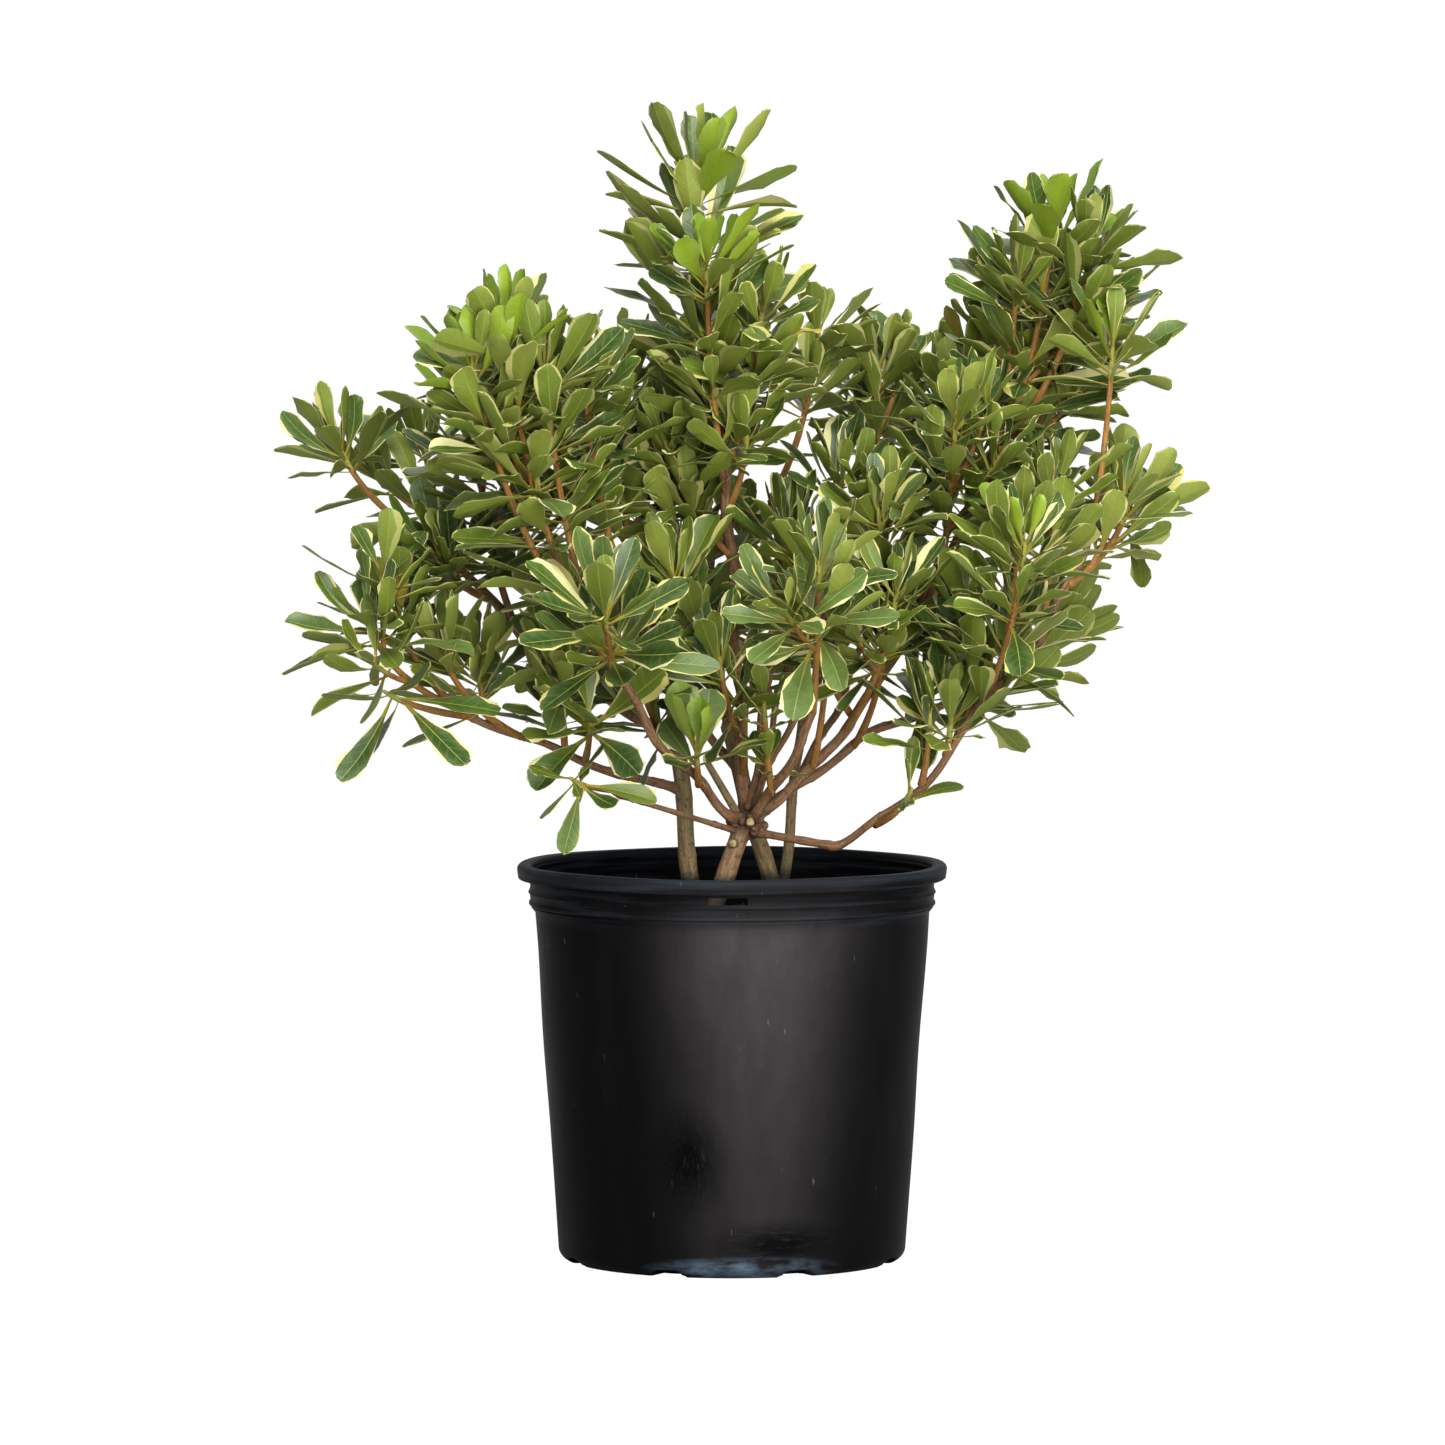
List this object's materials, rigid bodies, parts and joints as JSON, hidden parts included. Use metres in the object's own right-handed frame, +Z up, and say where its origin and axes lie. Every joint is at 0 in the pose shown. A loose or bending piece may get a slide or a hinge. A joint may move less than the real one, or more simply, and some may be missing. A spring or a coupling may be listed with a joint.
{
  "type": "potted variegated japanese mock orange",
  "caption": "Evergreen shrub with several stems, spreading boughs and whorls of cream-edged spoon-shaped leaves, standing in a round black nursery pot.",
  "frame": {"origin": "centre of the pot's flat underside, on the surface that the pot stands on", "axes": "+Z up along the pot's axis, +X to the viewer's right with the plant seen from the front, +Y away from the viewer"},
  "size_m": [0.7103, 0.5798, 0.886],
  "materials": {
    "pot": "satin black, fine-grained, lightly scuffed",
    "potting_mix": "loose bark and fibre",
    "stem_bark": "smooth olive-grey bark",
    "bough_bark": "brown bark with leaf scars",
    "foliage": "matte leathery leaves, green with cream margins"
  },
  "bodies": {
    "root": {"pot": "pot", "soil": "potting_mix", "stem_left": "stem_bark", "stem_knot": "stem_bark", "stem_centre": "stem_bark", "stem_right": "stem_bark", "bough_centre": "bough_bark", "bough_diagonal": "bough_bark", "bough_left_front": "bough_bark", "bough_low_right": "bough_bark", "bough_right": "bough_bark", "bough_front": "bough_bark", "bough_low_left": "bough_bark", "bough_right_outer": "bough_bark", "bough_left_low": "bough_bark", "bough_left_back": "bough_bark", "bough_upper_left": "bough_bark", "bough_back_left": "bough_bark", "bough_back_mid": "bough_bark", "bough_back_centre": "bough_bark", "bough_back_upper": "bough_bark", "bough_back_right": "bough_bark", "foliage_top": "foliage", "foliage_top_front": "foliage", "foliage_waist": "foliage", "foliage_back_top": "foliage", "foliage_back_upper": "foliage", "foliage_right_upper": "foliage", "foliage_right_top": "foliage", "foliage_right_top_inner": "foliage", "foliage_right_inner": "foliage", "foliage_right_tall": "foliage", "foliage_right_far": "foliage", "foliage_right_front": "foliage", "foliage_right_low": "foliage", "foliage_right_back_low": "foliage", "foliage_right_mid": "foliage", "foliage_low_right": "foliage", "foliage_front": "foliage", "foliage_centre_upper": "foliage", "foliage_centre_lower": "foliage", "foliage_left_front": "foliage", "foliage_rosette": "foliage", "foliage_upper_left": "foliage", "foliage_upper_left_back": "foliage", "foliage_left_inner": "foliage", "foliage_left_outer": "foliage", "foliage_left_back": "foliage", "foliage_left_mid": "foliage", "foliage_low_left_outer": "foliage", "foliage_low_left_inner": "foliage", "foliage_low_left": "foliage", "foliage_left_middle": "foliage", "foliage_centre_low": "foliage", "foliage_centre_back": "foliage", "foliage_far_left": "foliage", "foliage_far_mid": "foliage", "foliage_far_right": "foliage", "foliage_far_low": "foliage", "foliage_far_low_left": "foliage"}
  },
  "joints": []
}
